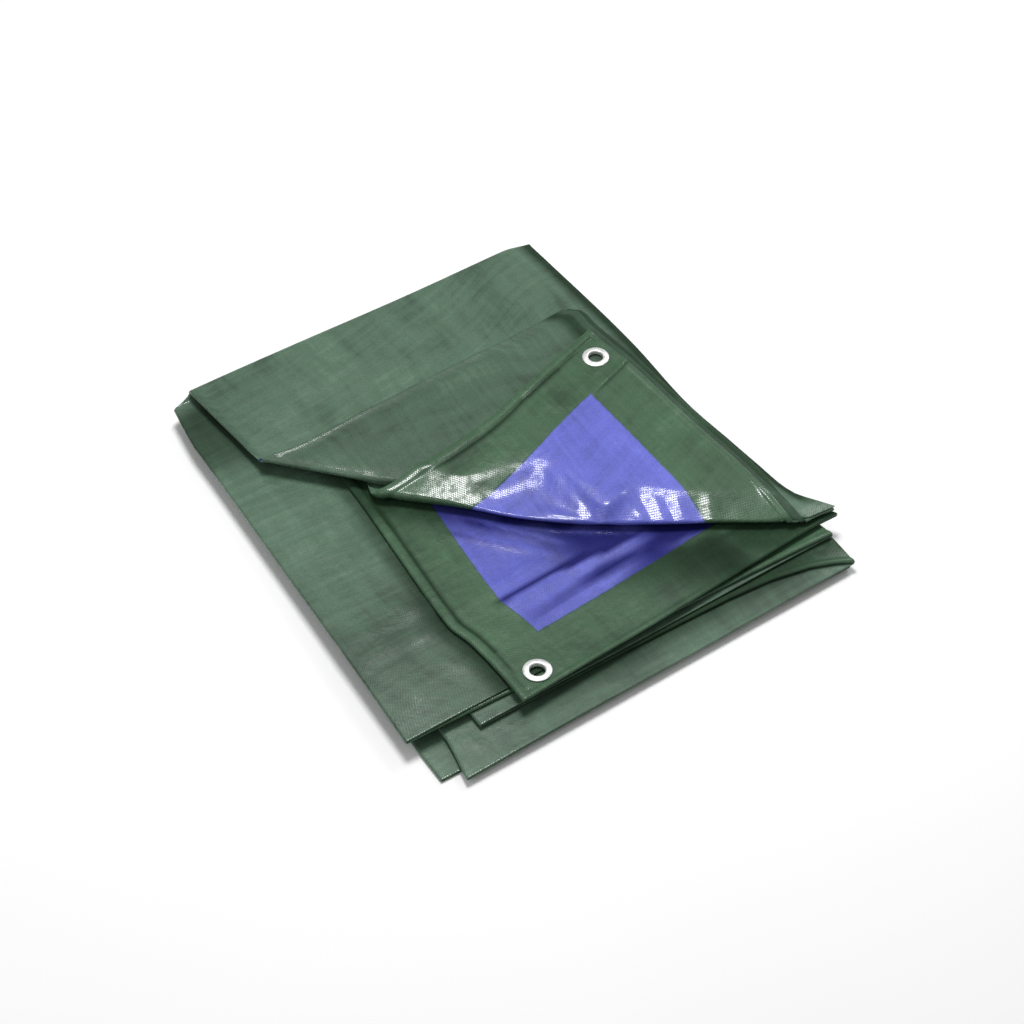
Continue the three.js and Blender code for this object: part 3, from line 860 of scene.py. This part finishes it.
def cloth_finish(name, inside):
    """Coated woven tape. The tapes show as dots of gloss where light is mirrored, the film between them
    has crinkles and cloudy tones, and the hem on the inside ends in a small step. Painted shade, from
    the shade attribute and on the blue of the lower half, dims the colour, and the attribute also
    weakens the coat and roughens the film."""
    cloth = bpy.context.scene.tarp_cloth
    finish = Finish(name)
    uv, across, along = finish.cloth()
    place = finish.place()
    big = finish.noise(place, 8.0, 4.0, 0.6, 0.8)
    streaks = finish.noise(finish.stretched(uv, (70.0, 9.0, 1.0)), 1.0, 3.0, 0.6)
    threads = finish.noise(finish.stretched(uv, (14.0, 160.0, 1.0)), 1.0, 2.0, 0.6)
    fine = finish.noise(place, 160.0, 2.0, 0.6)
    tone = big * 0.5 + streaks * 0.28 + threads * 0.22
    green = cloth.band if inside else cloth.green
    colour = cloudy(finish, tone, (0.36, 0.52), green, 0.61, 1.36)
    near = across.least(along)
    if inside:
        lining = cloudy(finish, tone, (0.38, 0.52), cloth.blue, 0.74, 1.25)
        ragged = near + (fine - 0.5) * 0.0016
        step = ragged.over(cloth.hem - 0.0011, cloth.hem + 0.0011)
        colour = finish.blend(step, colour, lining)
        # painted shade: the blue of the lower half, which lies under the turned flap, is dimmed
        below = finish.part(place, "Z").over(0.0275, 0.0262)  # on the lower half
        colour = finish.dimmed(below * 0.3 * step, colour, (0.35, 0.35, 0.5))
        # the colours that the painted shade dims towards, green on the hem and blue inside
        painted_shade_colour = finish.blend(step, (0.16, 0.24, 0.17), (0.07, 0.07, 0.24))
    else:
        painted_shade_colour = (0.14, 0.22, 0.15)
    shade = finish.node("ShaderNodeAttribute", {"attribute_name": "shade"}, out="Fac")
    colour = finish.dimmed(shade, colour, painted_shade_colour)
    weave = woven(finish, across, along)
    grain = finish.noise(place, 520.0, 2.0, 0.7)
    dirt = grain.over(0.45, 0.7) * 0.22 + weave.over(0.2, -0.8) * 0.16
    colour = finish.dimmed(dirt, colour, (0.3, 0.3, 0.3))
    glints = weave.over(-0.3, 0.6) * fine.over(0.35, 0.55)
    rough = finish.noise(place, 40.0, 3.0, 0.6).over(0.3, 0.7, 0.38, 0.50) - glints * 0.12
    rough = rough + shade.over(0.1, 0.9, 0.0, 0.4)
    film = finish.noise(place, 22.0, 4.0, 0.6, 0.8)
    ridges = finish.ridges(place, 30.0)
    fine_ridges = finish.ridges(place, 85.0)
    soft = finish.bump(film, 0.0016, 0.6)
    soft = finish.bump(ridges, 0.00042, 0.6, soft)
    soft = finish.bump(fine_ridges, 0.00012, 0.6, soft)
    if inside:
        lap = near.over(cloth.hem - 0.0012, cloth.hem + 0.0002)
        soft = finish.bump(1 - lap, 0.0005, 1.0, soft)
    normal = finish.bump(weave, 0.00004, 1.0, soft)
    finish.set(Base_Color=colour, Roughness=rough, Normal=normal)
    finish.set(Coat_Weight=(0.11 + glints * 0.7) * (1 - shade * 0.9))
    finish.set(Specular_IOR_Level=0.22, Coat_Roughness=0.12)
    return finish.material


def metal_finish():
    metal = bpy.context.scene.tarp_eyelets
    finish = Finish("eyelet_metal")
    place = finish.place()
    clouds = finish.noise(place, 300.0, 3.0, 0.6)
    dull = tuple(c * 0.86 for c in metal.colour)
    colour = finish.blend(clouds.over(0.3, 0.75), dull, tuple(metal.colour))
    finish.set(Base_Color=colour, Roughness=clouds.over(0.3, 0.7, 0.28, 0.42), Metallic=0.55)
    finish.set(Normal=finish.bump(finish.noise(place, 900.0, 2.0), 0.0001, 0.3))
    return finish.material


def stage_finish(name, colour, roughness):
    finish = Finish(name)
    place = finish.place()
    faint = finish.noise(place, 3.0, 2.0).over(0.3, 0.7)
    finish.set(Base_Color=finish.blend(faint, tuple(c * 0.99 for c in colour), colour))
    finish.set(Roughness=roughness)
    return finish.material


# Sizes and colours a user would change


def length(name, description, default, least, most):
    return bpy.props.FloatProperty(
        name=name, description=description, default=default, min=least, max=most, unit="LENGTH",
    )


def tint(name, description, default):
    return bpy.props.FloatVectorProperty(
        name=name, description=description, default=default, size=3, min=0, max=1, subtype="COLOR",
    )


class TarpCloth(bpy.types.PropertyGroup):
    hem: length("Hem", "Width of the green band along the inside's edges", 0.048, 0.01, 0.1)
    tape: length("Tape", "Width of one woven tape", 0.00115, 0.0005, 0.01)
    green: tint("Outside", "Colour of the outside", (0.086, 0.152, 0.102))
    band: tint("Hem colour", "Colour of the hem on the inside", (0.050, 0.115, 0.059))
    blue: tint("Blue", "Colour of the inside", (0.126, 0.143, 0.575))


class TarpEyelets(bpy.types.PropertyGroup):
    outer: length("Outer diameter", "Across the eyelet's flange", 0.0225, 0.01, 0.05)
    hole: length("Hole", "Across the eyelet's hole", 0.012, 0.004, 0.03)
    colour: tint("Metal", "Colour of the eyelets", (0.86, 0.88, 0.86))


class TarpStage(bpy.types.PropertyGroup):
    focal: bpy.props.FloatProperty(
        name="Focal length", description="The camera lens in millimetres",
        default=83.25, min=20, max=300,
    )
    floor: tint("Floor", "Colour of the floor", (0.98, 0.98, 0.98))
    key: bpy.props.FloatProperty(
        name="Key light", description="Power of the light overhead in watts",
        default=19.5, min=0,
    )


class TARP_OT_sheet(bpy.types.Operator):
    """Make the folded sheet with its hems, roll and wrinkles"""

    bl_idname = "tarp.sheet"
    bl_label = "Sheet"

    def execute(self, context):
        columns, outside, cloth, outside_shade, upper_count = sheet_grid(False)
        _, inside, _, inside_shade, _ = sheet_grid(True)
        skins = ((outside, cloth, outside_shade), (inside, cloth, inside_shade))
        count, rows = outside.shape[:2]
        kept = np.ones((count - 1, rows - 1), bool)
        square = len(HEM_LINES) - 1
        kept[:square, :square] = False
        kept[:square, rows - 1 - square:] = False
        past = np.flatnonzero((columns["ply"] == UPPER_PLIES) & ~np.isnan(columns["turn"]))[0] - 1
        kept[past:, :upper_count + TURN_STEPS - 1] = False
        obj = cloth_object("tarp_sheet", "tarp", skins, *shell_faces(kept))
        return {"FINISHED"}


def square_columns(side):
    """Columns of the first ply at these distances from the sheet's near side edge."""
    nothing = np.full(np.size(side), np.nan)
    ply = np.ones(np.size(side), int)
    return {"ply": ply, "side": side, "share": nothing, "turn": nothing, "end": nothing}


def half_of(upper):
    """The edges of one half, and what gives its front hem."""
    return (UPPER_EDGES, upper_front) if upper else (LOWER_EDGES, lower_front)


def square_plan(upper, side, from_front):
    """Plan place, before the turning, of points of a corner square by their two hem distances."""
    edges, front = half_of(upper)
    columns = square_columns(side)
    y = front(columns) + from_front
    return section(columns, edges, y)[0], y


def plan_distances(upper, x, y):
    """The two hem distances of plan points near a corner, by repeated substitution."""
    edges, front = half_of(upper)
    side = np.full(np.shape(x), 25.0)
    for _ in range(12):
        front_y = front(square_columns(side))
        side = np.maximum(x - edges[0](y), 0)
    return side, np.maximum(y - front_y, 0)


def square_points(upper, x, y, offset):
    """Points of a corner square over these plan places, offset from its middle."""
    level = np.zeros(x.shape)
    ply = np.ones(x.shape, int)
    out = level + PITCH / 2
    return np.stack(cloth_point(upper, ply, x, y, out, level, level + 1, offset, level), -1)


def square_skin(upper, inside):
    """A ring from a corner square's edge in to the eyelet's hole. The edge has the sheet's own
    grid points, and each inner ring lies on the lines from them to the eyelet's centre."""
    lines = np.array(HEM_LINES)
    ends = np.full(len(lines), HEM_SQUARE)
    side = np.concatenate([lines[:-1], ends[:-1], lines[:0:-1], 0 * lines[:-1]]).astype(float)
    front = np.concatenate([0 * lines[:-1], lines[:-1], ends[:-1], lines[:0:-1]])
    x, y = square_plan(upper, side, front)
    cx, cy = square_plan(upper, np.array([EYELET_FROM_SIDE]), np.array([EYELET_FROM_FRONT]))
    dx, dy = x - cx, y - cy
    reach = np.hypot(dx, dy)
    hole = bpy.context.scene.tarp_eyelets.hole / MM / 2 + 0.6
    share = mix(hole / reach, 1, np.linspace(1, 0, 26)[:, None])
    px, py = cx + dx * share, cy + dy * share
    sides, fronts = plan_distances(upper, px.ravel(), py.ravel())
    sides, fronts = sides.reshape(px.shape), fronts.reshape(px.shape)
    sides[0], fronts[0] = side, front
    half = half_thickness(inside, sides, fronts)
    sign = -1.0 if inside else 1.0
    lip = ease(49.9, 48.6, sides) * (0.3 + 0.4 * ease(42, 48, sides))
    extra = lip * ease(49.9, 36, fronts) if inside and upper else 0
    points = square_points(upper, px, py, sign * (half + extra))
    # painted shade in the groove behind the side hem's bead, given as the square's shade
    groove = 0.7 * bell(sides, GROOVE_AT, 1.6) * ease(18, 34, fronts) * inside
    return points, np.stack([sides, fronts], -1), groove


class TARP_OT_corner_squares(bpy.types.Operator):
    """Make the doubled corner squares with their holes"""

    bl_idname = "tarp.corner_squares"
    bl_label = "Corner squares"

    def execute(self, context):
        for place, upper in (("turned", True), ("lower", False)):
            skins = [square_skin(upper, inside) for inside in (False, True)]
            rings, around = skins[0][0].shape[:2]
            index = np.arange(rings * around).reshape(rings, around)
            a, b = index[:-1], np.roll(index[:-1], -1, 1)
            c, d = np.roll(index[1:], -1, 1), index[1:]
            shift = rings * around
            outer = np.stack([a, b, c, d], -1).reshape(-1, 4)
            inner = np.stack([a, d, c, b], -1).reshape(-1, 4) + shift
            hole, hole_next = index[-1], np.roll(index[-1], -1)
            wall = np.stack([hole, hole_next, hole_next + shift, hole + shift], -1)
            edge, edge_next = index[0], np.roll(index[0], -1)
            rim = np.stack([edge, edge + shift, edge_next + shift, edge_next], -1)
            way = 1 if upper else -1
            parts = [part[:, ::way] for part in (outer, inner, np.concatenate([wall, rim]))]
            cloth_object(f"corner_{place}", f"corner_square_{place}", skins, *parts)
        return {"FINISHED"}


EYELET_STEPS = 72
EYELET_ACROSS = 22.5  # the profile's own diameter
EYELET_PROFILE = [
    # radius and height over the cloth's middle, in millimetres: round the hole and back
    (6.05, 1.1), (6.2, 1.7), (6.7, 2.1), (7.4, 2.25), (8.3, 2.2), (9.4, 2.0), (10.4, 1.75),
    (11.0, 1.5), (11.25, 1.25), (11.0, 1.05), (9.0, 1.0), (7.1, 1.0), (6.9, 0.6),
    (6.9, -0.6), (7.1, -1.15), (9.0, -1.15), (11.0, -1.15), (11.25, -1.35), (11.0, -1.6),
    (9.0, -1.75), (7.2, -1.8), (6.4, -1.75), (6.1, -1.5), (6.0, -0.9), (6.0, 0.2),
]


class TARP_OT_eyelets(bpy.types.Operator):
    """Make the two metal eyelets"""

    bl_idname = "tarp.eyelets"
    bl_label = "Eyelets"

    def execute(self, context):
        finish = metal_finish()
        for place, upper in (("turned", True), ("lower", False)):
            cx, cy = square_plan(upper, np.array([EYELET_FROM_SIDE]), np.array([EYELET_FROM_FRONT]))

            def at(dx, dy, lift):
                return square_points(upper, cx + dx, cy + dy, np.full(1, -lift))[0]

            centre = at(0, 0, 0)
            right = at(9, 0, 0) - at(-9, 0, 0)
            back = at(0, 9, 0) - at(0, -9, 0)
            normal = np.cross(right, back)
            normal *= np.sign(normal @ (at(0, 0, 1) - centre)) / np.linalg.norm(normal)
            right = right / np.linalg.norm(right)
            back = np.cross(normal, right)
            turn = np.linspace(0, 2 * np.pi, EYELET_STEPS, endpoint=False)
            radius, height = np.array(EYELET_PROFILE).T
            scale = context.scene.tarp_eyelets.outer / MM / EYELET_ACROSS
            ring = right[None] * np.cos(turn)[:, None] + back[None] * np.sin(turn)[:, None]
            reach = ring[:, None] * (radius * scale)[None, :, None]
            points = centre + reach + normal * height[None, :, None]
            index = np.arange(points.shape[0] * points.shape[1]).reshape(points.shape[:2])
            a, b = index, np.roll(index, -1, 0)
            c, d = np.roll(b, -1, 1), np.roll(index, -1, 1)
            faces = np.stack([a, d, c, b], -1).reshape(-1, 4)
            slots = np.zeros(len(faces))
            obj = mesh_object(f"eyelet_ring_{place}", points.reshape(-1, 3), faces, slots)
            obj.data.materials.append(finish)
            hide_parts(f"eyelet_{place}")
            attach(obj, "root")
        return {"FINISHED"}


class TARP_OT_stage(bpy.types.Operator):
    """Make the floor, the lights and the camera"""

    bl_idname = "tarp.stage"
    bl_label = "Stage"

    def execute(self, context):
        stage = context.scene.tarp_stage
        size = 6.0
        mesh = bpy.data.meshes.new("floor")
        corners = [(-size, -size, 0), (size, -size, 0), (size, size, 0), (-size, size, 0)]
        mesh.from_pydata(corners, [], [(0, 1, 2, 3)])
        floor = bpy.data.objects.new("floor", mesh)
        context.collection.objects.link(floor)
        mesh.materials.append(stage_finish("floor", tuple(stage.floor), 0.9))
        lights = (
            # name, place, size, power, colour
            ("key", (0.16, 0.36, 1.6), 0.62, stage.key, (1, 1, 1)),
            ("side", (1.6, 0.6, 1.5), 0.9, stage.key * 0.45, (1, 1, 1)),
            ("fill", (-1.5, -0.5, 1.5), 1.6, stage.key * 0.3, (1, 1, 1)),
        )
        for name, place, width, power, colour in lights:
            data = bpy.data.lights.new(name, "AREA")
            data.shape = "DISK"
            data.size = width
            data.energy = power
            data.color = colour
            lamp = bpy.data.objects.new(name, data)
            lamp.location = place
            lamp.rotation_mode = "QUATERNION"
            lamp.rotation_quaternion = (-Vector(place)).to_track_quat("-Z", "Y")
            context.collection.objects.link(lamp)
        world = bpy.data.worlds.new("studio")
        world.use_nodes = True
        background = world.node_tree.nodes["Background"]
        background.inputs["Color"].default_value = (1, 1, 1, 1)
        background.inputs["Strength"].default_value = 0.32
        context.scene.world = world
        context.scene.view_settings.view_transform = "Standard"
        camera_data = bpy.data.cameras.new("camera")
        camera_data.lens = stage.focal
        camera_data.sensor_width = 36.0
        camera = bpy.data.objects.new("camera", camera_data)
        tilt, turn, far = math.radians(46.0), math.radians(33.8), 1.893
        level = math.cos(tilt)
        forward = Vector((math.sin(turn) * level, math.cos(turn) * level, -math.sin(tilt)))
        target = Vector((0.0, -0.018, 0.0))
        camera.location = target - forward * far
        camera.rotation_mode = "QUATERNION"
        camera.rotation_quaternion = forward.to_track_quat("-Z", "Y")
        context.collection.objects.link(camera)
        context.scene.camera = camera
        return {"FINISHED"}


class TARP_PT_panel(bpy.types.Panel):
    """Lists the tarpaulin's pieces"""

    bl_label = "Tarpaulin"
    bl_idname = "TARP_PT_panel"
    bl_space_type = "VIEW_3D"
    bl_region_type = "UI"
    bl_category = "Tarpaulin"

    def draw(self, context):
        for group in ("tarp_cloth", "tarp_eyelets", "tarp_stage"):
            box = self.layout.box()
            settings = getattr(context.scene, group)
            for name in settings.bl_rna.properties.keys():
                if name not in ("rna_type", "name"):
                    box.prop(settings, name)
        for operator in OPERATORS:
            self.layout.operator(operator.bl_idname)


OPERATORS = (TARP_OT_sheet, TARP_OT_corner_squares, TARP_OT_eyelets, TARP_OT_stage)
CLASSES = (TarpCloth, TarpEyelets, TarpStage, *OPERATORS, TARP_PT_panel)


def register():
    for made in CLASSES:
        bpy.utils.register_class(made)
    bpy.types.Scene.tarp_cloth = bpy.props.PointerProperty(type=TarpCloth)
    bpy.types.Scene.tarp_eyelets = bpy.props.PointerProperty(type=TarpEyelets)
    bpy.types.Scene.tarp_stage = bpy.props.PointerProperty(type=TarpStage)


def unregister():
    del bpy.types.Scene.tarp_stage
    del bpy.types.Scene.tarp_eyelets
    del bpy.types.Scene.tarp_cloth
    for made in reversed(CLASSES):
        bpy.utils.unregister_class(made)


def main():
    register()
    bpy.ops.tarp.stage()
    bpy.ops.tarp.sheet()
    bpy.ops.tarp.corner_squares()
    bpy.ops.tarp.eyelets()


if __name__ == "__main__":
    main()
